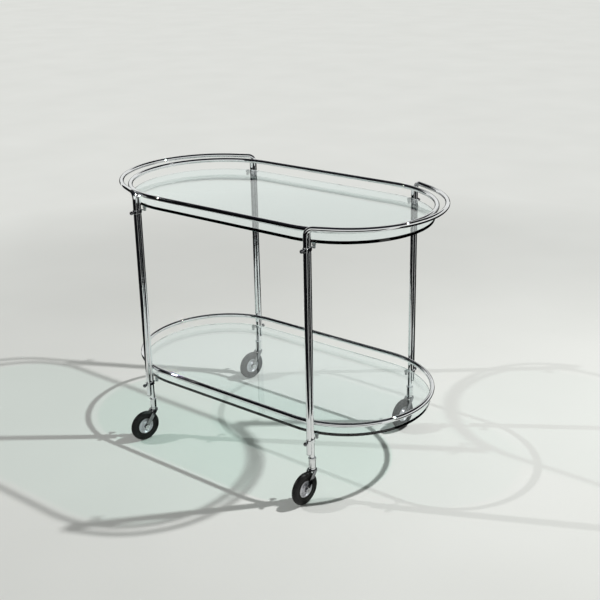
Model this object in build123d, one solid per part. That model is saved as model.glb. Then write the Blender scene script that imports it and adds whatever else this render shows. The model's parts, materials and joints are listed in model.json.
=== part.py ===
from build123d import *
import math
import os

os.makedirs("parts", exist_ok=True)

# Serving cart of bent tube with two glass shelves. Millimetres, +Z up, long side along X.
# The plan is a racetrack. The ring touches the inner side of each leg, 237 mm from the end's
# centre, and each handle tube stands beside its leg, straight outwards across the cart.
end_centre_x = 217.0
ring_radius = 225.0
leg_x = 274.2
leg_y = 230.0
handle_y = 242.1

tube_diameter = 12.0
tube_wall = 1.5
top_ring_z = 698.0
lower_ring_z = 206.0
leg_bottom_z = 94.0
leg_top_z = 700.0
leg_cap_thickness = 3.0

# Handle: up beside one leg, over, a short straight, round the end, and the same back down.
handle_z = 707.0
handle_end_z = 131.0
handle_bend_radius = 17.0
handle_straight = 44.0
handle_turn_in = math.radians(24.5)
handle_weld_gap = 0.05
plug_depth = 8.0
plug_lip = 2.0
plug_lip_round = 1.6
plug_clearance = 0.05

# Shelves.
glass_radius = 221.0
glass_thickness = 8.0
glass_edge_break = 0.8
top_glass_z = 665.0
lower_glass_z = 173.0

# Shelf supports: strap, through bolt with a ball knob outside, pad under the glass.
bolt_drop = 9.0
bolt_diameter = 4.0
bolt_hole_diameter = 4.1
bolt_inner_y = 205.5
bolt_end_gap = 0.1
strap_height = 9.0
strap_wall = 1.6
strap_clearance = 0.05
knob_radius = 5.0
knob_neck_radius = 3.2
knob_seat_gap = 0.1
knob_centre_offset = 6.8
knob_bore_depth = 5.0
pad_radius = 5.0
pad_centre_y = 209.5
pad_height = 13.5
pad_edge_break = 0.6

# Casters.
wheel_radius = 42.0
wheel_trail = 30.0
tyre_half_width = 7.0
tyre_shoulder = 5.0
rim_radius = 22.0
rim_inner_radius = 18.0
rim_half_width = 5.5
rim_taper = 1.0
web_half_width = 2.5
hub_radius = 10.0
hub_half_width = 7.5
hub_taper = 2.0
bush_radius = 6.5
bush_half_width = 8.4
bush_fit = 0.05
axle_radius = 4.0
axle_half_length = 15.0
nut_radius = 6.0
nut_thickness = 3.5
nut_gap = 0.05
cheek_inner = 8.8
cheek_thickness = 2.2
cheek_end_radius = 6.5
cheek_top_width = 11.0
crown_radius = 11.6
crown_bottom_z = 80.6
crown_top_z = 83.7
socket_bottom_z = 84.0
socket_top_z = 116.0
socket_radius = 8.5
socket_rim_radius = 9.6
socket_rim_height = 4.0
socket_clearance = 0.05
stem_radius = 4.0
stem_fit = 0.05
stem_top_z = 106.0
fixed_clearance = 0.03

# Which way each wheel trails, in degrees from -Y towards -X.
caster_heading = {"fl": 15.0, "fr": 6.0, "bl": 12.0, "br": 8.0}
corners = {"fl": (-1, -1), "fr": (1, -1), "bl": (-1, 1), "br": (1, 1)}
shelves = {"top": top_glass_z, "lower": lower_glass_z}

tube_radius = tube_diameter / 2
bore_radius = tube_radius - tube_wall


def corner_plane(corner, z=0.0):
    """Plane on the cart's long middle line, beside a leg, whose X axis points outwards at it."""
    side_x, side_y = corners[corner]
    return Plane(origin=(side_x * leg_x, 0, z), x_dir=(0, side_y, 0), z_dir=(0, 0, 1))


def point_at(corner, outwards, z=0.0):
    """Point on a corner's line, at a distance outwards from the middle of the cart."""
    return corner_plane(corner, z).from_local_coords(Vector(outwards, 0, 0))


def upright(corner, outwards, z_low, z_high, radius):
    """Upright round bar on a corner's line."""
    bar = Cylinder(radius, z_high - z_low, align=(Align.CENTER, Align.CENTER, Align.MIN))
    return Pos(point_at(corner, outwards, z_low)) * bar


def crosswise(corner, z, start, end, radius):
    """Level round bar along a corner's line, between two distances from the middle."""
    bar = Cylinder(radius, end - start, align=(Align.CENTER, Align.CENTER, Align.MIN))
    direction = corner_plane(corner).x_dir
    return Plane(origin=point_at(corner, start, z), z_dir=direction).location * bar


def bolt_z(shelf):
    """Height of the bolts that carry a shelf."""
    return shelves[shelf] - bolt_drop


def bolt_holes(corner):
    """The two holes drilled through leg and handle tube at a corner."""
    outer = handle_y + tube_diameter
    inner = leg_y - tube_diameter
    top = crosswise(corner, bolt_z("top"), inner, outer, bolt_hole_diameter / 2)
    return top + crosswise(corner, bolt_z("lower"), inner, outer, bolt_hole_diameter / 2)


def ring(z):
    """Closed racetrack loop of bar."""
    path = Pos(0, 0, z) * SlotCenterToCenter(2 * end_centre_x, 2 * ring_radius).wire()
    start = path @ 0
    section = Plane(origin=start, z_dir=path % 0) * Circle(tube_radius)
    return sweep(section, path=path)


def handle_path(side):
    """Centre line of a handle: leg, bend, straight, sweep round the end, straight, bend, leg."""
    bend = handle_bend_radius
    cosine = math.cos(handle_turn_in)
    sine = math.sin(handle_turn_in)
    shoulder_z = handle_z - bend

    def along(y_side, run, z):
        """Point a level run away from the foot, on the near or far side of the cart."""
        return (side * (leg_x + run * cosine), y_side * (handle_y - run * sine), z)

    half_run = bend * (1 - math.cos(math.pi / 4))
    half_z = shoulder_z + bend * math.sin(math.pi / 4)
    full_run = bend + handle_straight
    sweep_radius = (handle_y - full_run * sine) / cosine
    reach = leg_x + full_run * cosine - sweep_radius * sine + sweep_radius
    near = -1
    far = 1
    edges = [
        Line(along(near, 0, handle_end_z), along(near, 0, shoulder_z)),
        ThreePointArc(
            along(near, 0, shoulder_z), along(near, half_run, half_z), along(near, bend, handle_z)
        ),
        Line(along(near, bend, handle_z), along(near, full_run, handle_z)),
        ThreePointArc(
            along(near, full_run, handle_z), (side * reach, 0, handle_z), along(far, full_run, handle_z)
        ),
        Line(along(far, full_run, handle_z), along(far, bend, handle_z)),
        ThreePointArc(
            along(far, bend, handle_z), along(far, half_run, half_z), along(far, 0, shoulder_z)
        ),
        Line(along(far, 0, shoulder_z), along(far, 0, handle_end_z)),
    ]
    return Wire(edges)


def handle_bar(side, radius):
    """Solid bar along a handle's centre line."""
    path = handle_path(side)
    return sweep(Plane(origin=path @ 0, z_dir=path % 0) * Circle(radius), path=path)


def handle(side):
    """Handle tube of one end, open at both lower ends and drilled for the bolts."""
    tube = handle_bar(side, tube_radius) - handle_bar(side, bore_radius)
    for corner, (side_x, _) in corners.items():
        if side_x == side:
            tube -= bolt_holes(corner)
    return tube


def leg(corner):
    """Main leg: a tube with a closed top, drilled for the bolts and hollowed for the handle's bend."""
    outside = upright(corner, leg_y, leg_bottom_z, leg_top_z, tube_radius)
    inside = upright(corner, leg_y, leg_bottom_z, leg_top_z - leg_cap_thickness, bore_radius)
    beside = handle_bar(corners[corner][0], tube_radius + handle_weld_gap)
    return outside - inside - beside - bolt_holes(corner)


def plug(corner):
    """End plug of a handle tube: a shank in the bore and a domed lip below it."""
    shank_top = handle_end_z + plug_depth
    shank = upright(corner, handle_y, handle_end_z, shank_top, bore_radius - plug_clearance)
    lip = upright(corner, handle_y, handle_end_z - plug_lip, handle_end_z, tube_radius)
    lowest = lip.edges().sort_by(Axis.Z)[0]
    return shank + fillet(lowest, plug_lip_round)


def glass(z):
    """Glass shelf with broken edges."""
    sheet = extrude(SlotCenterToCenter(2 * end_centre_x, 2 * glass_radius), glass_thickness)
    rims = sheet.faces().filter_by(Axis.Z).edges()
    return Pos(0, 0, z) * chamfer(rims, glass_edge_break)


def strap(corner, z):
    """Band round leg and handle tube, drilled for the bolt."""
    spacing = handle_y - leg_y
    inner = tube_radius + strap_clearance
    outer = inner + strap_wall
    outline = SlotCenterToCenter(spacing, 2 * outer) - SlotCenterToCenter(spacing, 2 * inner)
    band = extrude(outline, strap_height / 2, both=True)
    centre = (leg_y + handle_y) / 2
    placed = corner_plane(corner, z).location * Pos(centre, 0, 0) * band
    inner = leg_y - tube_diameter
    outer = handle_y + tube_diameter
    return placed - crosswise(corner, z, inner, outer, bolt_hole_diameter / 2)


def knob_face():
    """Distance outwards at which a knob's neck sits against the strap."""
    return handle_y + tube_radius + strap_clearance + strap_wall + knob_seat_gap


def bolt(corner, z):
    """Through bolt, from inside the pad to inside the knob."""
    outer_end = knob_face() + knob_bore_depth - bolt_end_gap
    return crosswise(corner, z, bolt_inner_y, outer_end, bolt_diameter / 2)


def knob(corner, z):
    """Ball knob on a short neck, bored for the bolt."""
    face = knob_face()
    ball = Pos(point_at(corner, face + knob_centre_offset, z)) * Sphere(knob_radius)
    neck = crosswise(corner, z, face, face + knob_centre_offset, knob_neck_radius)
    bore = crosswise(corner, z, face, face + knob_bore_depth, bolt_hole_diameter / 2)
    return ball + neck - bore


def pad(corner, shelf):
    """Soft pad pushed onto the bolt's inner end, with its top under the glass."""
    top = shelves[shelf]
    body = upright(corner, pad_centre_y, top - pad_height, top, pad_radius)
    body = chamfer(body.edges().filter_by(GeomType.CIRCLE).sort_by(Axis.Z)[0], pad_edge_break)
    outside = pad_centre_y + 2 * pad_radius
    start = bolt_inner_y - bolt_end_gap
    return body - crosswise(corner, bolt_z(shelf), start, outside, bolt_hole_diameter / 2)


def caster_plane(corner):
    """Plane at a leg's foot: X axis along the axle, Y axis the way the wheel trails."""
    heading = math.radians(caster_heading[corner])
    foot = point_at(corner, leg_y)
    trail = Vector(-math.sin(heading), -math.cos(heading), 0)
    axle_direction = trail.cross(Vector(0, 0, 1))
    return Plane(origin=foot, x_dir=axle_direction, z_dir=(0, 0, 1))


def across(shape, corner):
    """Move a piece built about the X axis to the axle's place at a corner."""
    return caster_plane(corner).location * Pos(0, wheel_trail, wheel_radius) * shape


def axle_bar(radius, half_length):
    """Round bar along X, centred on the origin."""
    return Rot(0, 90, 0) * Cylinder(radius, 2 * half_length)


def socket(corner):
    """Sleeve on the leg's foot, with a rim at its mouth and a bore for the stem below."""
    body = upright(corner, leg_y, socket_bottom_z, socket_top_z, socket_radius)
    body += upright(corner, leg_y, socket_top_z - socket_rim_height, socket_top_z, socket_rim_radius)
    body -= upright(corner, leg_y, leg_bottom_z, socket_top_z, tube_radius + socket_clearance)
    return body - upright(corner, leg_y, socket_bottom_z, leg_bottom_z, stem_radius + stem_fit)


def stem(corner):
    """Swivel stem, fixed in the fork and free in the socket."""
    return upright(corner, leg_y, crown_bottom_z, stem_top_z, stem_radius)


def fork(corner):
    """Fork with a round level crown, cut flat at its sides, and two cheeks that run down to the axle."""
    crown_height = crown_top_z - crown_bottom_z
    crown_z = crown_bottom_z + crown_height / 2
    cheek_top = Pos(0, crown_z) * Rectangle(cheek_top_width, crown_height)
    axle_end = Pos(wheel_trail, wheel_radius) * Circle(cheek_end_radius)
    outline = make_hull(cheek_top.edges() + axle_end.edges())
    side_plane = Plane(origin=(0, 0, 0), x_dir=(0, 1, 0), z_dir=(1, 0, 0))
    width = cheek_inner + cheek_thickness
    cheek = extrude(side_plane * outline, cheek_thickness)
    crown = Cylinder(crown_radius, crown_height) & Box(2 * width, 2 * crown_radius, crown_height)
    body = Pos(0, 0, crown_z) * crown + Pos(cheek_inner, 0, 0) * cheek + Pos(-width, 0, 0) * cheek
    body -= Pos(0, 0, crown_z) * Cylinder(stem_radius + fixed_clearance, 2 * crown_height)
    body -= Pos(0, wheel_trail, wheel_radius) * axle_bar(axle_radius + fixed_clearance, 2 * width)
    return caster_plane(corner).location * body


def nuts(corner):
    """Axle nuts, one outside each cheek."""
    start = cheek_inner + cheek_thickness + nut_gap
    hexagon = RegularPolygon(nut_radius, 6) - Circle(axle_radius + fixed_clearance)
    nut = Rot(0, 90, 0) * extrude(hexagon, nut_thickness)
    pair = Compound([Pos(start, 0, 0) * nut, Pos(-start - nut_thickness, 0, 0) * nut])
    return across(pair, corner)


def turned(points):
    """Solid turned about X from an outline of (along the axle, radius) points."""
    return revolve(make_face(Polyline(*points, close=True)), axis=Axis.X)


def wheel_disc(corner):
    """Wheel disc: hub, thin web and rim."""
    bore = bush_radius + fixed_clearance
    half_profile = [
        (hub_half_width, bore),
        (hub_half_width, hub_radius),
        (web_half_width, hub_radius + hub_taper),
        (web_half_width, rim_inner_radius),
        (rim_half_width, rim_inner_radius + rim_taper),
        (rim_half_width, rim_radius),
    ]
    mirrored = [(-along, radius) for along, radius in reversed(half_profile)]
    return across(turned(half_profile + mirrored), corner)


def tyre(corner):
    """Solid tyre with rounded shoulders."""
    bore = rim_radius + fixed_clearance
    body = axle_bar(wheel_radius, tyre_half_width) - axle_bar(bore, 2 * tyre_half_width)
    outer_edges = body.edges().filter_by(GeomType.CIRCLE).sort_by(SortBy.RADIUS)[-2:]
    return across(fillet(outer_edges, tyre_shoulder), corner)


def bush(corner):
    """Hub bush, fixed in the disc and free on the axle."""
    body = axle_bar(bush_radius, bush_half_width) - axle_bar(axle_radius + bush_fit, 2 * bush_half_width)
    return across(body, corner)


pieces = {
    "top_ring": ring(top_ring_z),
    "lower_ring": ring(lower_ring_z),
    "handle_left": handle(-1),
    "handle_right": handle(1),
    "handle_plugs": Compound([plug(corner) for corner in corners]),
    "top_glass": glass(top_glass_z),
    "lower_glass": glass(lower_glass_z),
}

for shelf in shelves:
    pieces[f"{shelf}_straps"] = Compound([strap(corner, bolt_z(shelf)) for corner in corners])
    pieces[f"{shelf}_bolts"] = Compound([bolt(corner, bolt_z(shelf)) for corner in corners])
    pieces[f"{shelf}_knobs"] = Compound([knob(corner, bolt_z(shelf)) for corner in corners])
    pieces[f"{shelf}_pads"] = Compound([pad(corner, shelf) for corner in corners])

for corner in corners:
    pieces[f"leg_{corner}"] = leg(corner)
    pieces[f"socket_{corner}"] = socket(corner)
    pieces[f"stem_{corner}"] = stem(corner)
    pieces[f"fork_{corner}"] = fork(corner)
    pieces[f"axle_{corner}"] = across(axle_bar(axle_radius, axle_half_length), corner)
    pieces[f"nuts_{corner}"] = nuts(corner)
    pieces[f"disc_{corner}"] = wheel_disc(corner)
    pieces[f"tyre_{corner}"] = tyre(corner)
    pieces[f"bush_{corner}"] = bush(corner)

# The origin is on the floor under the middle of the overall box. The wheels trail towards -Y,
# so the frame is moved along Y to bring that middle over the origin.
overall = Compound(list(pieces.values())).bounding_box()
to_origin = Pos(0, -(overall.min.Y + overall.max.Y) / 2, 0)

for name, shape in pieces.items():
    export_step(to_origin * shape, f"parts/{name}.step")

print("pieces", len(pieces))
print("frame moved along Y by", round(-(overall.min.Y + overall.max.Y) / 2, 4))
print("overall size", [round(v, 2) for v in (overall.size.X, overall.size.Y, overall.size.Z)])
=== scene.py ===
import json
import math

import bmesh
import bpy
import numpy as np
from mathutils import Matrix, Vector


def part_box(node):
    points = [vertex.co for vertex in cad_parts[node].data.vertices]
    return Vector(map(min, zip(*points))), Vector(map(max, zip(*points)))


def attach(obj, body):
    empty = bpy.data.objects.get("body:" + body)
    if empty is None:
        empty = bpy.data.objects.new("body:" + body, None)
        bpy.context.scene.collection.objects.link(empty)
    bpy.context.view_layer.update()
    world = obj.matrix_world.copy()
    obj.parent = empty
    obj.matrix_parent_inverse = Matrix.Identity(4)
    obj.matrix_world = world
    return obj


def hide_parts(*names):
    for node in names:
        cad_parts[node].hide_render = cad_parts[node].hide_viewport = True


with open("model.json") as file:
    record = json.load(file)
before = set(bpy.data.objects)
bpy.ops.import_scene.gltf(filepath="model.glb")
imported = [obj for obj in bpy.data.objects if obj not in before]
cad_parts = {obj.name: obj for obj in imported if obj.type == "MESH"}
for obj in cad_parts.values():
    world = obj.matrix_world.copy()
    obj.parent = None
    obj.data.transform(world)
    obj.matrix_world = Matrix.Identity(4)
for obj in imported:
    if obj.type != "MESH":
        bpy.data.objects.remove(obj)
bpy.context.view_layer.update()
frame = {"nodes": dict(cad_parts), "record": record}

# Main legs. Four straight tubes of chromed steel, cut square at the foot and closed by a low
# dome at the head. They carry the rings on their inner sides and the casters at their feet.
mm = 0.001
corners = {"fl": (-1, -1), "fr": (1, -1), "bl": (-1, 1), "br": (1, 1)}


def leg_place(corner):
    """Middle of a leg tube in plan, read from its solid."""
    low, high = (np.array(c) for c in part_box("leg_" + corner))
    return (low[:2] + high[:2]) / 2


leg_low, leg_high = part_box("leg_fr")
tube_radius = (leg_high[0] - leg_low[0]) / 2
middle_y = (leg_place("fr")[1] + leg_place("br")[1]) / 2


def quads_of(rows, columns, first, wrap_rows):
    """Four-cornered faces of a grid whose columns close round, as an array of corner numbers."""
    row = np.arange(rows if wrap_rows else rows - 1)
    r, c = np.meshgrid(row, np.arange(columns), indexing="ij")
    next_r = (r + 1) % rows
    next_c = (c + 1) % columns
    here = r * columns
    there = next_r * columns
    faces = np.stack([here + c, here + next_c, there + next_c, there + c], -1)
    return faces.reshape(-1, 4) + first


def make_surface(name, grids, body, replaced, sharp_degrees=38.0, wrap_rows=False):
    """One object from several grids of points: rows along a profile, columns round it.

    Points that coincide, as at a pole, are merged, and the faces are turned outwards.
    """
    points = np.concatenate([g.reshape(-1, 3) for g in grids])
    starts = np.cumsum([0] + [g.shape[0] * g.shape[1] for g in grids[:-1]])
    faces = np.concatenate(
        [quads_of(g.shape[0], g.shape[1], s, wrap_rows) for g, s in zip(grids, starts)]
    )
    mesh = bpy.data.meshes.new(name)
    mesh.from_pydata(points.tolist(), [], faces.tolist())
    work = bmesh.new()
    work.from_mesh(mesh)
    bmesh.ops.remove_doubles(work, verts=work.verts, dist=2e-6)
    bmesh.ops.recalc_face_normals(work, faces=work.faces)
    work.to_mesh(mesh)
    work.free()
    mesh.shade_smooth()
    mesh.set_sharp_from_angle(angle=math.radians(sharp_degrees))
    piece = bpy.data.objects.new(name, mesh)
    bpy.context.scene.collection.objects.link(piece)
    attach(piece, body)
    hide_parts(*replaced)
    return piece


def turned(profile, centre, axis, sides=48):
    """Grid of a turned shape: (along, radius) pairs carried round an axis through a point."""
    axis = np.array(axis, float) / np.linalg.norm(axis)
    helper = np.array([1.0, 0, 0]) if abs(axis[2]) > 0.9 else np.array([0, 0, 1.0])
    first = np.cross(axis, helper)
    first /= np.linalg.norm(first)
    second = np.cross(axis, first)
    angle = np.linspace(0, 2 * math.pi, sides, endpoint=False)
    ring = np.cos(angle)[:, None] * first + np.sin(angle)[:, None] * second
    along, radius = np.array(profile, float).T
    return np.array(centre) + along[:, None, None] * axis + radius[:, None, None] * ring[None]


def rounded(points, bends, steps=5):
    """Profile whose corners are replaced by quarter-like curves of the given sizes.

    Each curve is a quadratic from a point before the corner to a point after it. A short step on
    each side of it keeps the long straight faces shaded as flat.
    """
    points = np.array(points, float)
    runs = np.linalg.norm(np.diff(points, axis=0), axis=1)
    sizes = np.array([0.0, *bends, 0.0])
    steps_off = 0.3 * np.clip(runs - sizes[:-1] - sizes[1:], 0, mm)
    out = [points[:1]]
    share = np.linspace(0, 1, steps)[:, None]
    for i, bend in enumerate(bends):
        corner = points[i + 1]
        back = (points[i] - corner) / runs[i]
        on = (points[i + 2] - corner) / runs[i + 1]
        start = corner + back * bend
        finish = corner + on * bend
        curve = (1 - share) ** 2 * start + 2 * share * (1 - share) * corner + share**2 * finish
        before = start + back * steps_off[i]
        after = finish + on * steps_off[i + 1]
        out.append(np.concatenate([[before], curve, [after]]))
    out.append(points[-1:])
    return np.concatenate(out)


def marks_group():
    """Node group for handled metal: faint smears, hairlines and the gentle waviness of plating."""
    group = bpy.data.node_groups.new("handled_surface", "ShaderNodeTree")
    face = group.interface
    face.new_socket("Smear size", in_out="INPUT", socket_type="NodeSocketFloat").default_value = 30.0
    face.new_socket("Hairline size", in_out="INPUT", socket_type="NodeSocketFloat").default_value = 900.0
    face.new_socket("Smear", in_out="OUTPUT", socket_type="NodeSocketFloat")
    face.new_socket("Hairline", in_out="OUTPUT", socket_type="NodeSocketFloat")
    nodes, links = group.nodes, group.links
    entry = nodes.new("NodeGroupInput")
    leave = nodes.new("NodeGroupOutput")
    place = nodes.new("ShaderNodeTexCoord")
    smear = nodes.new("ShaderNodeTexNoise")
    smear.inputs["Detail"].default_value = 5.0
    hair = nodes.new("ShaderNodeTexNoise")
    hair.inputs["Detail"].default_value = 3.0
    shape = nodes.new("ShaderNodeMapRange")
    shape.inputs["From Min"].default_value = 0.42
    shape.inputs["From Max"].default_value = 0.72
    links.new(place.outputs["Object"], smear.inputs["Vector"])
    links.new(place.outputs["Object"], hair.inputs["Vector"])
    links.new(entry.outputs["Smear size"], smear.inputs["Scale"])
    links.new(entry.outputs["Hairline size"], hair.inputs["Scale"])
    links.new(smear.outputs["Fac"], shape.inputs["Value"])
    links.new(shape.outputs["Result"], leave.inputs["Smear"])
    links.new(hair.outputs["Fac"], leave.inputs["Hairline"])
    return group


handled_surface = marks_group()


def finish_material(name, colour, smeared_colour, metallic, roughness, bump, smear_size, hairline_size):
    """Material whose colour, roughness and height vary with the handled-surface group."""
    material = bpy.data.materials.new(name)
    material.use_nodes = True
    nodes, links = material.node_tree.nodes, material.node_tree.links
    shader = nodes["Principled BSDF"]
    shader.inputs["Metallic"].default_value = metallic
    marks = nodes.new("ShaderNodeGroup")
    marks.node_tree = handled_surface
    marks.inputs["Smear size"].default_value = smear_size
    marks.inputs["Hairline size"].default_value = hairline_size
    tint = nodes.new("ShaderNodeValToRGB")
    tint.color_ramp.elements[0].color = (*colour, 1)
    tint.color_ramp.elements[1].color = (*smeared_colour, 1)
    gloss = nodes.new("ShaderNodeMapRange")
    gloss.inputs["To Min"].default_value = roughness[0]
    gloss.inputs["To Max"].default_value = roughness[1]
    height = nodes.new("ShaderNodeBump")
    height.inputs["Strength"].default_value = bump[0]
    height.inputs["Distance"].default_value = bump[1]
    links.new(marks.outputs["Smear"], tint.inputs["Fac"])
    links.new(marks.outputs["Smear"], gloss.inputs["Value"])
    links.new(marks.outputs["Hairline"], height.inputs["Height"])
    links.new(tint.outputs["Color"], shader.inputs["Base Color"])
    links.new(gloss.outputs["Result"], shader.inputs["Roughness"])
    links.new(height.outputs["Normal"], shader.inputs["Normal"])
    return material


tube_chrome = finish_material(
    "tube_chrome", (0.86, 0.87, 0.89), (0.78, 0.79, 0.80),
    metallic=1.0, roughness=(0.01, 0.04), bump=(0.006, 0.00003), smear_size=26.0, hairline_size=700.0,
)

for corner in corners:
    low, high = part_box("leg_" + corner)
    x, y = leg_place(corner)
    head = 5.0 * mm
    leg_profile = rounded(
        [(low[2], 0), (low[2], tube_radius), (high[2], tube_radius), (high[2], 0)], [0.3 * mm, head]
    )
    leg_grid = turned(leg_profile, (x, y, 0), (0, 0, 1))
    leg = make_surface("leg_tube_" + corner, [leg_grid], "frame", ["leg_" + corner])
    leg.data.materials.append(tube_chrome)


# Rings. Two closed loops of chromed tube, bent to a racetrack and welded to the inner sides of
# the legs, one above each glass as a rail.
ring_low, ring_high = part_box("top_ring")
ring_radius = (ring_high[1] - ring_low[1]) / 2 - tube_radius
end_centre_x = ring_high[0] - ring_radius - tube_radius


def racetrack(radius, arc_steps=72, straight_steps=28):
    """Points and outward directions of a racetrack: half circles joined by straight sides."""
    turn = np.linspace(-math.pi / 2, math.pi / 2, arc_steps)
    side = np.linspace(end_centre_x, -end_centre_x, straight_steps)[1:-1]
    arc = np.stack([np.cos(turn), np.sin(turn)], 1)
    right_end = arc * radius + [end_centre_x, 0]
    long_side = np.stack([side, np.full_like(side, radius)], 1)
    right = np.concatenate([right_end, long_side])
    facing = np.concatenate([arc, np.tile([0.0, 1.0], (len(side), 1))])
    points = np.concatenate([right, -right]) + [0, middle_y]
    return points, np.concatenate([facing, -facing])


def bent_tube(points, sideways, radius, sides=28, closed=False):
    """Grid of a round tube: a circle carried along a path, square to it at every point.

    The circle is spanned by a given sideways direction and the one square to that and to the path.
    """
    if closed:
        along = np.roll(points, -1, 0) - np.roll(points, 1, 0)
    else:
        along = np.gradient(points, axis=0)
    along /= np.linalg.norm(along, axis=1)[:, None]
    other = np.cross(along, sideways)
    other /= np.linalg.norm(other, axis=1)[:, None]
    angle = np.linspace(0, 2 * math.pi, sides, endpoint=False)
    across, upward = (wave[None, :, None] for wave in (np.cos(angle), np.sin(angle)))
    circle = across * sideways[:, None] + upward * other[:, None]
    return points[:, None] + radius * circle


for name in ("top_ring", "lower_ring"):
    low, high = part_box(name)
    plan, facing = racetrack(ring_radius)
    level = np.full((len(plan), 1), (low[2] + high[2]) / 2)
    sideways = np.concatenate([facing, np.zeros_like(level)], 1)
    grid = bent_tube(np.concatenate([plan, level], 1), sideways, tube_radius, closed=True)
    loop = make_surface(name + "_tube", [grid], "frame", [name], wrap_rows=True)
    loop.data.materials.append(tube_chrome)


# Handles. One chromed tube at each end, standing against the legs, bent over at the top and
# swept round outside the ring. A turned plug closes each lower end. The tube is drawn a hair
# thinner than its solid, so that it stays inside it.
bend_radius = 17.0 * mm
short_straight = 44.0 * mm
turn_in = math.radians(24.5)
pair_spacing = 2 * tube_radius + 0.1 * mm
drawn_radius = tube_radius - 0.1 * mm


def handle_centre_line(side):
    """Path and sideways directions of a handle: leg, quarter bend, short straight, arc, and back.

    The bend turns the tube from upright to level. The arc carries on from the straights without
    a corner, and has its centre on the cart's middle line.
    """
    low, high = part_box("handle_right")
    top = high[2] - tube_radius
    foot_x = low[0] + tube_radius
    foot_y = high[1] - tube_radius - middle_y
    shoulder = top - bend_radius
    out = np.array([math.cos(turn_in), -math.sin(turn_in)])
    normal = np.array([math.sin(turn_in), math.cos(turn_in)])
    upright = np.linspace(low[2], shoulder, 14)[:-1]
    quarter = np.linspace(0, math.pi / 2, 15)
    end = np.array([foot_x, foot_y]) + out * (bend_radius + short_straight)
    arc_radius = end[1] / normal[1]
    centre_x = end[0] - arc_radius * normal[0]
    half_angle = math.asin(end[1] / arc_radius)
    sweep = np.linspace(half_angle, -half_angle, 110)[1:-1]
    straight = np.stack([np.full_like(upright, foot_x), np.full_like(upright, foot_y), upright], 1)
    run = (1 - np.cos(quarter)) * bend_radius
    bend = np.stack(
        [foot_x + out[0] * run, foot_y + out[1] * run, shoulder + np.sin(quarter) * bend_radius], 1
    )
    arc = np.stack(
        [centre_x + arc_radius * np.cos(sweep), arc_radius * np.sin(sweep), np.full_like(sweep, top)], 1
    )
    level_run = bend_radius + np.linspace(0, short_straight, 9)[1:]
    level_part = np.stack(
        [foot_x + out[0] * level_run, foot_y + out[1] * level_run, np.full_like(level_run, top)], 1
    )
    first = np.concatenate([straight, bend, level_part])
    mirrored = first[::-1] * [1, -1, 1]
    points = np.concatenate([first, arc, mirrored])
    first_normals = np.tile([*normal, 0], (len(first), 1))
    arc_normals = np.stack([np.cos(sweep), np.sin(sweep), np.zeros_like(sweep)], 1)
    sideways = np.concatenate([first_normals, arc_normals, first_normals * [1, -1, 1]])
    flip = np.array([side, 1, 1])
    return points * flip + [0, middle_y, 0], sideways * flip


for side, name in ((-1, "handle_left"), (1, "handle_right")):
    points, sideways = handle_centre_line(side)
    grid = bent_tube(points, sideways, drawn_radius)
    lids = [np.broadcast_to(end, grid[:1].shape) for end in (points[0], points[-1])]
    grid = np.concatenate([lids[0], grid, lids[1]])
    hoop = make_surface(name + "_tube", [grid], "frame", [name])
    hoop.data.materials.append(tube_chrome)

dark_chrome = finish_material(
    "dark_chrome", (0.20, 0.20, 0.21), (0.12, 0.12, 0.13),
    metallic=1.0, roughness=(0.08, 0.2), bump=(0.05, 0.00003), smear_size=120.0, hairline_size=1600.0,
)


def handle_foot(corner):
    """Middle of a handle's leg in plan: one tube's width outside the main leg."""
    return leg_place(corner) + np.array([0, corners[corner][1]]) * pair_spacing


plug_low, plug_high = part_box("handle_plugs")
plug_grids = []
for corner in corners:
    x, y = handle_foot(corner)
    lip_top = plug_low[2] + 2.0 * mm
    shank = 4.4 * mm
    outline = rounded(
        [(plug_low[2], 0), (plug_low[2], tube_radius), (lip_top, tube_radius), (lip_top, shank),
         (plug_high[2], shank), (plug_high[2], 0)],
        [1.6 * mm, 0.2 * mm, 0.1 * mm, 0.4 * mm],
    )
    plug_grids.append(turned(outline, (x, y, 0), (0, 0, 1), 32))
plugs = make_surface("handle_end_plugs", plug_grids, "frame", ["handle_plugs"])
plugs.data.materials.append(dark_chrome)


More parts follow.
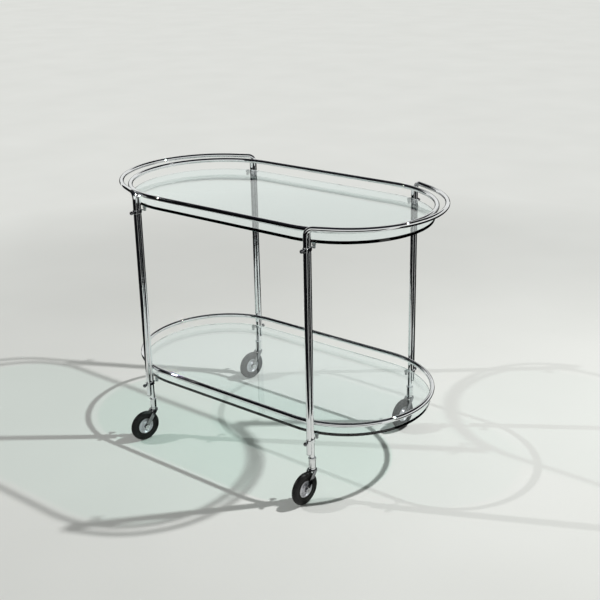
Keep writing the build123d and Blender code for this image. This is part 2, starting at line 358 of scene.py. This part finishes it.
# Glass shelves. Two racetrack sheets of clear float glass with ground and polished edges, lying
# loose on the pads. The green shows where the eye looks along the sheet.
def clear_glass():
    """Clear glass with a body that absorbs red, faint wiping marks, and a light tinted shadow.

    Light on its way to the floor passes straight through, so that it is counted only once.
    """
    material = bpy.data.materials.new("clear_glass")
    material.use_nodes = True
    nodes, links = material.node_tree.nodes, material.node_tree.links
    shader = nodes["Principled BSDF"]
    shader.inputs["Base Color"].default_value = (1.0, 1.0, 1.0, 1)
    shader.inputs["Transmission Weight"].default_value = 1.0
    shader.inputs["IOR"].default_value = 1.52
    marks = nodes.new("ShaderNodeGroup")
    marks.node_tree = handled_surface
    marks.inputs["Smear size"].default_value = 9.0
    marks.inputs["Hairline size"].default_value = 260.0
    gloss = nodes.new("ShaderNodeMapRange")
    gloss.inputs["To Min"].default_value = 0.0
    gloss.inputs["To Max"].default_value = 0.012
    links.new(marks.outputs["Smear"], gloss.inputs["Value"])
    links.new(gloss.outputs["Result"], shader.inputs["Roughness"])
    body = nodes.new("ShaderNodeVolumeAbsorption")
    body.inputs["Color"].default_value = (0.50, 0.85, 0.82, 1)
    body.inputs["Density"].default_value = 18.0
    links.new(body.outputs["Volume"], nodes["Material Output"].inputs["Volume"])
    shade = nodes.new("ShaderNodeBsdfTransparent")
    shade.inputs["Color"].default_value = (0.95, 0.98, 0.965, 1)
    ray_kind = nodes.new("ShaderNodeLightPath")
    from_floor = nodes.new("ShaderNodeMath")
    from_floor.operation = "MAXIMUM"
    passed = nodes.new("ShaderNodeMixShader")
    links.new(ray_kind.outputs["Is Shadow Ray"], from_floor.inputs[0])
    links.new(ray_kind.outputs["Is Diffuse Ray"], from_floor.inputs[1])
    links.new(from_floor.outputs["Value"], passed.inputs["Fac"])
    links.new(shader.outputs["BSDF"], passed.inputs[1])
    links.new(shade.outputs["BSDF"], passed.inputs[2])
    links.new(passed.outputs["Shader"], nodes["Material Output"].inputs["Surface"])
    return material


glass_material = clear_glass()
for name in ("top_glass", "lower_glass"):
    low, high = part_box(name)
    glass_radius = (high[1] - low[1]) / 2
    edge_round = 0.8 * mm
    outline = rounded(
        [(0, low[2]), (glass_radius, low[2]), (glass_radius, high[2]), (0, high[2])], [edge_round] * 2
    )
    plan, facing = racetrack(1.0)
    spine = plan - facing
    grid = np.concatenate(
        [
            spine[None] + outline[:, 0][:, None, None] * facing[None],
            np.broadcast_to(outline[:, 1][:, None, None], (len(outline), len(plan), 1)),
        ],
        2,
    )
    sheet = make_surface(name + "_sheet", [grid], "frame", [name], 30.0)
    sheet.data.materials.append(glass_material)


# Shelf supports. At each leg a chromed strap holds leg and handle together, a through bolt with
# a ball knob clamps them, and the bolt's inner end carries a soft pad under the glass.
strap_outer = tube_radius + 1.65 * mm
strap_inner = tube_radius + 0.05 * mm
bolt_radius = 2.0 * mm
knob_radius = 5.0 * mm
ball_centre = 6.85 * mm
ball_start = -2.44
knob_neck = np.array([(0.1, 0), (0.1, 2.7), (0.6, 3.2), (1.6, 3.2), (2.2, 2.5), (2.8, 2.6)])
bolt_inner_end = -24.5 * mm
pad_radius = 5.0 * mm
pad_foot = 3.8 * mm
pad_offset = 20.5 * mm
cup_height = 6.0 * mm


def strap_grid(corner, level, height):
    """Band with softened edges: a flat section carried round a small racetrack."""
    outward = np.array([0, corners[corner][1], 0])
    across = np.array([-outward[1], 0, 0])
    leg_mid = np.array([*leg_place(corner), level])
    turn = np.linspace(-math.pi / 2, math.pi / 2, 22)
    arc = np.stack([np.cos(turn), np.sin(turn)], 1)
    facing = np.concatenate([arc, -arc])
    base = np.concatenate([0 * arc + [pair_spacing, 0], 0 * arc])
    half = height / 2
    soft = 0.5 * mm
    section = np.array(
        [(strap_inner, -half), (strap_outer - soft, -half), (strap_outer, -half + soft),
         (strap_outer, half - soft), (strap_outer - soft, half), (strap_inner, half)]
    )
    plan = base[None] + section[:, 0][:, None, None] * facing[None]
    return (
        leg_mid
        + plan[..., :1] * outward
        + plan[..., 1:] * across
        + section[:, 1][:, None, None] * np.array([0, 0, 1.0])
    )


fitting_chrome = finish_material(
    "fitting_chrome", (0.80, 0.81, 0.82), (0.66, 0.67, 0.68),
    metallic=1.0, roughness=(0.06, 0.18), bump=(0.08, 0.00005), smear_size=90.0, hairline_size=1400.0,
)
pad_rubber = finish_material(
    "pad_rubber", (0.30, 0.32, 0.32), (0.22, 0.23, 0.23),
    metallic=0.0, roughness=(0.45, 0.7), bump=(0.3, 0.0002), smear_size=160.0, hairline_size=2400.0,
)
for shelf in ("top", "lower"):
    strap_low, strap_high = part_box(shelf + "_straps")
    pad_low, pad_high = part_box(shelf + "_pads")
    level = (strap_low[2] + strap_high[2]) / 2
    straps, bolts, knobs, pads = [], [], [], []
    for corner in corners:
        outward = np.array([0, corners[corner][1], 0])
        leg_mid = np.array([*leg_place(corner), level])
        straps.append(strap_grid(corner, level, strap_high[2] - strap_low[2]))
        seat = pair_spacing + strap_outer
        bolt_line = rounded(
            [(bolt_inner_end, 0), (bolt_inner_end, bolt_radius), (seat, bolt_radius), (seat, 0)],
            [0.4 * mm, 0.4 * mm],
        )
        bolts.append(turned(bolt_line, leg_mid, outward, 24))
        swing = np.linspace(ball_start, 0, 25)
        ball_along = seat + ball_centre + knob_radius * np.cos(swing)
        ball = np.stack([ball_along, -knob_radius * np.sin(swing)], 1)
        knobs.append(turned(np.concatenate([knob_neck * mm + [seat, 0], ball]), leg_mid, outward, 32))
        bottom, top = pad_low[2], pad_high[2]
        cup = top - cup_height
        pad_line = rounded(
            [(bottom, 0), (bottom, pad_foot), (cup, pad_foot), (cup, pad_radius), (top, pad_radius),
             (top, 0)],
            [1.2 * mm, 0.4 * mm, 1.2 * mm, 0.5 * mm],
            4,
        )
        pad_mid = leg_mid - outward * pad_offset
        pads.append(turned(pad_line, (pad_mid[0], pad_mid[1], 0), (0, 0, 1), 32))
    bands = make_surface(
        shelf + "_strap_bands", straps, "frame", [shelf + "_straps"], wrap_rows=True
    )
    bands.data.materials.append(fitting_chrome)
    rods = make_surface(shelf + "_bolt_rods", bolts, "frame", [shelf + "_bolts"])
    rods.data.materials.append(fitting_chrome)
    balls = make_surface(shelf + "_knob_balls", knobs, "frame", [shelf + "_knobs"])
    balls.data.materials.append(dark_chrome)
    cups = make_surface(shelf + "_pad_cups", pads, "frame", [shelf + "_pads"])
    cups.data.materials.append(pad_rubber)


# Caster sockets. A turned and chromed sleeve on each leg's foot, with a raised rim at its mouth
# and a turned groove above its lower edge.
for corner in corners:
    low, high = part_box("socket_" + corner)
    x, y = leg_place(corner)
    sleeve = 8.5 * mm
    rim = (high[0] - low[0]) / 2
    bottom, top = low[2], high[2]
    rim_foot = top - 4.0 * mm
    groove = bottom + 5.0 * mm
    groove_half = 0.6 * mm
    sleeve_line = rounded(
        [(bottom, 0), (bottom, sleeve), (groove, sleeve), (groove + groove_half, sleeve - groove_half),
         (groove + 2 * groove_half, sleeve), (rim_foot, sleeve), (rim_foot, rim), (top, rim),
         (top, tube_radius), (top, 0)],
        [0.8 * mm, 0.1 * mm, 0.1 * mm, 0.1 * mm, 0.3 * mm, 0.6 * mm, 0.8 * mm, 0.1 * mm],
        4,
    )
    sleeve_grid = turned(sleeve_line, (x, y, 0), (0, 0, 1))
    sleeve_piece = make_surface(
        "socket_sleeve_" + corner, [sleeve_grid], "frame", ["socket_" + corner]
    )
    sleeve_piece.data.materials.append(fitting_chrome)


# Swivels. A steel stem turns in the socket and carries a chromed fork. A steel axle with a nut at
# each end crosses the fork. Their solids already have the right shape and keep it.
turned_steel = finish_material(
    "turned_steel", (0.56, 0.57, 0.58), (0.42, 0.42, 0.43),
    metallic=1.0, roughness=(0.22, 0.38), bump=(0.15, 0.00006), smear_size=120.0, hairline_size=1800.0,
)
# The fork is darker than the other chrome: painted shade, standing in for the shaded floor beside the
# wheel that its cheeks reflect.
shaded_fork_chrome = finish_material(
    "shaded_fork_chrome", (0.26, 0.26, 0.27), (0.18, 0.18, 0.19),
    metallic=1.0, roughness=(0.06, 0.16), bump=(0.05, 0.00004), smear_size=110.0, hairline_size=1500.0,
)
bush_plastic = finish_material(
    "bush_plastic", (0.05, 0.05, 0.055), (0.09, 0.09, 0.09),
    metallic=0.0, roughness=(0.4, 0.6), bump=(0.2, 0.0001), smear_size=150.0, hairline_size=1500.0,
)


def dress(node, finish):
    """Give a solid that keeps its own shape its finish."""
    solid = frame["nodes"][node]
    solid.data.materials.clear()
    solid.data.materials.append(finish)


for corner in corners:
    dress("stem_" + corner, turned_steel)
    dress("axle_" + corner, turned_steel)
    dress("fork_" + corner, shaded_fork_chrome)
    dress("nuts_" + corner, fitting_chrome)
    dress("bush_" + corner, bush_plastic)

# Wheels. A pressed disc of bright metal with a raised hub and rim, and a solid black rubber tyre
# with a rounded tread, a moulding line along its middle and a shallow groove round each side.
disc_metal = finish_material(
    "disc_metal", (0.66, 0.66, 0.70), (0.56, 0.56, 0.59),
    metallic=0.35, roughness=(0.30, 0.42), bump=(0.08, 0.00004), smear_size=110.0, hairline_size=1600.0,
)
tyre_rubber = finish_material(
    "tyre_rubber", (0.006, 0.006, 0.006), (0.018, 0.018, 0.017),
    metallic=0.0, roughness=(0.34, 0.55), bump=(0.30, 0.00015), smear_size=70.0, hairline_size=1300.0,
)
tyre_rubber.node_tree.nodes["Principled BSDF"].inputs["Specular IOR Level"].default_value = 0.2


def axle_line(corner):
    """Middle of the axle and its direction, from the joint that the wheel rolls on."""
    joints = frame["record"]["behaviour"]["joints"]
    joint = next(j for j in joints if j["name"] == "wheel_roll_" + corner)
    return np.array(joint["pos_m"]), np.array(joint["axis"])


def mirrored_profile(half):
    """Closed profile of a wheel part from its one side: the same points again, turned over."""
    half = np.array(half, float) * mm
    return np.concatenate([half, half[::-1] * [-1, 1], half[:1]])


# Half profiles as (distance from the wheel's middle plane, radius) pairs in millimetres: bore, hub,
# web with its bead, and rim for the disc; seat, groove, shoulder and moulding line for the tyre.
disc_half = [
    (0, 6.53), (7.1, 6.53), (7.5, 6.9), (7.5, 9.2), (6.9, 10.0), (4.4, 10.8), (2.8, 12.0),
    (2.5, 13.2), (2.5, 14.6), (3.0, 15.2), (2.5, 15.8), (2.6, 17.2), (3.2, 18.1), (5.0, 18.7),
    (5.5, 19.3), (5.5, 21.5), (5.2, 22.0), (0, 22.0),
]
tyre_half = [
    (0, 22.03), (6.1, 22.03), (6.7, 22.8), (6.9, 25.0), (7.0, 28.6), (6.5, 29.3), (6.5, 30.1),
    (7.0, 30.8), (7.0, 34.0), (6.7, 36.8), (5.9, 38.9), (4.6, 40.6), (2.8, 41.6), (1.2, 41.97),
    (0.6, 41.97), (0.35, 41.7), (0, 41.65),
]
for corner in corners:
    centre, axis = axle_line(corner)
    for part, half, sides, slot, finish in (
        ("disc", disc_half, 72, "disc_metal", disc_metal),
        ("tyre", tyre_half, 96, "tyre_rubber", tyre_rubber),
    ):
        grid = turned(mirrored_profile(half), centre, axis, sides)
        piece = make_surface(
            "wheel_" + part + "_" + corner, [grid], "wheel_" + corner, [part + "_" + corner]
        )
        piece.data.materials.append(finish)


# Stage. A wide pale floor, a pale sky whose upper part is dark in reflections, and two small lamps.
# Dark sheets lie and stand around, seen only in polished surfaces: painted reflections that draw the
# tubes' dark lines.
def stage_piece(name, points, faces, material):
    """Stage piece from its points and faces."""
    mesh = bpy.data.meshes.new(name)
    mesh.from_pydata(points, [], faces)
    mesh.materials.append(material)
    piece = bpy.data.objects.new(name, mesh)
    bpy.context.scene.collection.objects.link(piece)
    return piece


floor_paint = bpy.data.materials.new("floor_paint")
floor_paint.use_nodes = True
floor_nodes, floor_links = floor_paint.node_tree.nodes, floor_paint.node_tree.links
floor_shader = floor_nodes["Principled BSDF"]
floor_shader.inputs["Roughness"].default_value = 0.9
floor_shader.inputs["Specular IOR Level"].default_value = 0.0
floor_place = floor_nodes.new("ShaderNodeTexCoord")
floor_cloud = floor_nodes.new("ShaderNodeTexNoise")
floor_cloud.inputs["Scale"].default_value = 2.2
floor_tint = floor_nodes.new("ShaderNodeValToRGB")
floor_tint.color_ramp.elements[0].color = (0.70, 0.71, 0.68, 1)
floor_tint.color_ramp.elements[1].color = (0.76, 0.77, 0.74, 1)
floor_links.new(floor_place.outputs["Object"], floor_cloud.inputs["Vector"])
floor_links.new(floor_cloud.outputs["Fac"], floor_tint.inputs["Fac"])
floor_links.new(floor_tint.outputs["Color"], floor_shader.inputs["Base Color"])

# The far part of the floor shows at an even level to the eye, in reflections and through glass.
far_floor = floor_nodes.new("ShaderNodeEmission")
from_middle = floor_nodes.new("ShaderNodeVectorMath")
from_middle.operation = "LENGTH"
fade = floor_nodes.new("ShaderNodeMapRange")
fade.inputs["From Min"].default_value = 1.1
fade.inputs["From Max"].default_value = 2.6
floor_rays = floor_nodes.new("ShaderNodeLightPath")
plain_rays = floor_nodes.new("ShaderNodeMath")
plain_rays.operation = "MAXIMUM"
clear_rays = floor_nodes.new("ShaderNodeMath")
clear_rays.operation = "MAXIMUM"
far_share = floor_nodes.new("ShaderNodeMath")
far_share.operation = "MULTIPLY"
floor_mix = floor_nodes.new("ShaderNodeMixShader")
floor_links.new(floor_tint.outputs["Color"], far_floor.inputs["Color"])
floor_links.new(floor_place.outputs["Object"], from_middle.inputs[0])
floor_links.new(from_middle.outputs["Value"], fade.inputs["Value"])
floor_links.new(floor_rays.outputs["Is Camera Ray"], plain_rays.inputs[0])
floor_links.new(floor_rays.outputs["Is Glossy Ray"], plain_rays.inputs[1])
floor_links.new(plain_rays.outputs["Value"], clear_rays.inputs[0])
floor_links.new(floor_rays.outputs["Is Transmission Ray"], clear_rays.inputs[1])
floor_links.new(fade.outputs["Result"], far_share.inputs[0])
floor_links.new(clear_rays.outputs["Value"], far_share.inputs[1])
floor_links.new(far_share.outputs["Value"], floor_mix.inputs["Fac"])
floor_links.new(floor_shader.outputs["BSDF"], floor_mix.inputs[1])
floor_links.new(far_floor.outputs["Emission"], floor_mix.inputs[2])
floor_links.new(floor_mix.outputs["Shader"], floor_nodes["Material Output"].inputs["Surface"])
floor_paint.cycles.emission_sampling = "NONE"


def rectangle(half_x, half_y, level):
    """Corners of a level rectangle round the middle."""
    return [(x * half_x, y * half_y, level) for x, y in ((-1, -1), (1, -1), (1, 1), (-1, 1))]


one_face = [(0, 1, 2, 3)]
floor_reach = 30.0
stage_piece("floor", rectangle(floor_reach, floor_reach, 0), one_face, floor_paint)

# Painted reflection: a near-black material for sheets that only polished surfaces show.
painted_reflection_dark = bpy.data.materials.new("painted_reflection_dark")
painted_reflection_dark.use_nodes = True
painted_reflection_shader = painted_reflection_dark.node_tree.nodes["Principled BSDF"]
painted_reflection_shader.inputs["Base Color"].default_value = (0.006, 0.006, 0.007, 1)
painted_reflection_shader.inputs["Roughness"].default_value = 1.0
painted_reflection_shader.inputs["Specular IOR Level"].default_value = 0.0


def painted_reflection_piece(name, points, faces):
    """Painted reflection: a dark stage piece that only polished surfaces show; it casts no shadow and
    lights nothing.
    """
    piece = stage_piece(name, points, faces, painted_reflection_dark)
    piece.visible_camera = False
    piece.visible_diffuse = False
    piece.visible_transmission = False
    piece.visible_shadow = False


painted_reflection_level = 2 * mm
painted_reflection_points = 25


def painted_reflection_strip(name, from_degrees, to_degrees, first, second):
    """Painted reflection: a dark strip that follows part of a circle between two (distance, height)
    edges.
    """
    turn = np.radians(np.linspace(from_degrees, to_degrees, painted_reflection_points))
    edges = [
        np.stack([np.cos(turn) * distance, np.sin(turn) * distance, np.full(painted_reflection_points, height)], 1)
        for distance, height in (first, second)
    ]
    faces = [(i, i + 1, i + 1 + painted_reflection_points, i + painted_reflection_points) for i in range(painted_reflection_points - 1)]
    painted_reflection_piece(name, np.concatenate(edges).tolist(), faces)


# Painted reflections: dark sheets on the floor and standing as walls round the cart, seen only in
# polished surfaces.
painted_reflection_strip("painted_reflection_front_floor", 172, 348, (0.78, painted_reflection_level), (5.0, painted_reflection_level))
painted_reflection_strip("painted_reflection_right_floor", 0, 112, (0.62, painted_reflection_level), (9.0, painted_reflection_level))
painted_reflection_strip("painted_reflection_back_floor", 112, 165, (2.7, painted_reflection_level), (6.0, painted_reflection_level))
painted_reflection_strip("painted_reflection_left_wall", 172, 262, (5.0, 0.0), (5.0, 5.6))
painted_reflection_strip("painted_reflection_back_wall", 98, 165, (6.0, 0.0), (6.0, 1.2))
painted_reflection_strip("painted_reflection_right_wall", 40, 100, (5.0, 2.9), (5.0, 7.0))
# Painted reflection: a dark sheet under the cart, seen only in polished surfaces.
painted_reflection_piece("painted_reflection_under_cart", rectangle(0.36, 0.19, painted_reflection_level), one_face)

# The sky is pale where it is seen, in a reflection or through glass too, and dimmer as a light. In
# reflections its upper part is dark: a painted reflection, with nothing dark there that shades the
# scene.
world = bpy.data.worlds.new("studio")
bpy.context.scene.world = world
world.use_nodes = True
sky, sky_links = world.node_tree.nodes, world.node_tree.links
room = sky["Background"]
seen_by = sky.new("ShaderNodeLightPath")
seen = sky.new("ShaderNodeMath")
seen.operation = "MAXIMUM"
seen_too = sky.new("ShaderNodeMath")
seen_too.operation = "MAXIMUM"
before_floor = sky.new("ShaderNodeMath")
before_floor.operation = "LESS_THAN"
before_floor.inputs[1].default_value = 0.5
shown = sky.new("ShaderNodeMath")
shown.operation = "MULTIPLY"
sky_level = sky.new("ShaderNodeMapRange")
sky_level.inputs["To Min"].default_value = 0.22
sky_level.inputs["To Max"].default_value = 0.98
direction = sky.new("ShaderNodeTexCoord")
split = sky.new("ShaderNodeSeparateXYZ")
# Painted reflection: the dark upper part of the sky shows only in glossy rays.
reflected_dark_top = sky.new("ShaderNodeValToRGB")
reflected_dark_top.color_ramp.elements[0].position = 0.42
reflected_dark_top.color_ramp.elements[0].color = (0.86, 0.87, 0.85, 1)
reflected_dark_top.color_ramp.elements[1].position = 0.56
reflected_dark_top.color_ramp.elements[1].color = (0.02, 0.02, 0.024, 1)
sky_colour = sky.new("ShaderNodeMix")
sky_colour.data_type = "RGBA"
sky_colour.inputs["A"].default_value = (0.86, 0.87, 0.85, 1)
sky_links.new(seen_by.outputs["Is Camera Ray"], seen.inputs[0])
sky_links.new(seen_by.outputs["Is Glossy Ray"], seen.inputs[1])
sky_links.new(seen.outputs["Value"], seen_too.inputs[0])
sky_links.new(seen_by.outputs["Is Transmission Ray"], seen_too.inputs[1])
sky_links.new(seen_by.outputs["Diffuse Depth"], before_floor.inputs[0])
sky_links.new(seen_too.outputs["Value"], shown.inputs[0])
sky_links.new(before_floor.outputs["Value"], shown.inputs[1])
sky_links.new(shown.outputs["Value"], sky_level.inputs["Value"])
sky_links.new(sky_level.outputs["Result"], room.inputs["Strength"])
sky_links.new(direction.outputs["Generated"], split.inputs["Vector"])
sky_links.new(split.outputs["Z"], reflected_dark_top.inputs["Fac"])
sky_links.new(seen_by.outputs["Is Glossy Ray"], sky_colour.inputs["Factor"])
sky_links.new(reflected_dark_top.outputs["Color"], sky_colour.inputs["B"])
sky_links.new(sky_colour.outputs["Result"], room.inputs["Color"])


def aimed_lamp(name, place, size, power):
    """Square area lamp aimed at the middle of the cart."""
    data = bpy.data.lights.new(name, "AREA")
    data.size = size
    data.energy = power
    lamp = bpy.data.objects.new(name, data)
    bpy.context.scene.collection.objects.link(lamp)
    lamp.location = place
    aim = Vector((0, middle_y, 0.35)) - Vector(place)
    lamp.rotation_euler = aim.to_track_quat("-Z", "Y").to_euler()


aimed_lamp("key_lamp", (1.55, 1.15, 2.9), 0.07, 88.0)
aimed_lamp("fill_lamp", (-2.65, -1.6, 2.8), 0.04, 50.0)

# Camera. It stands to the right of the long front side, above the cart, and looks down on it. Its
# place, turn and lens were fitted to points read from the photograph.
picture = 600
focal_pixels = 992.6
optical_x = 299.757
optical_y = 252.383
camera_place = (1.559942, -1.943110 + middle_y, 1.378565)
camera_yaw = 0.653425
camera_pitch = 0.329005
camera_roll = -0.019919


def camera_turn():
    """Rotation of the camera: yaw about upright, then pitch down, then roll about the view."""
    ahead = np.array(
        [
            -math.sin(camera_yaw) * math.cos(camera_pitch),
            math.cos(camera_yaw) * math.cos(camera_pitch),
            -math.sin(camera_pitch),
        ]
    )
    level_right = np.array([math.cos(camera_yaw), math.sin(camera_yaw), 0])
    level_up = np.cross(level_right, ahead)
    right = math.cos(camera_roll) * level_right + math.sin(camera_roll) * level_up
    up = -math.sin(camera_roll) * level_right + math.cos(camera_roll) * level_up
    return np.stack([right, up, -ahead], 1)


camera_data = bpy.data.cameras.new("view")
camera_data.sensor_width = 36.0
camera_data.lens = focal_pixels / picture * camera_data.sensor_width
camera_data.shift_x = (picture / 2 - optical_x) / picture
camera_data.shift_y = (optical_y - picture / 2) / picture
camera = bpy.data.objects.new("view", camera_data)
bpy.context.scene.collection.objects.link(camera)
placement = np.eye(4)
placement[:3, :3] = camera_turn()
placement[:3, 3] = camera_place
camera.matrix_world = Matrix(placement.tolist())
bpy.context.scene.camera = camera
bpy.context.scene.view_settings.view_transform = "Standard"
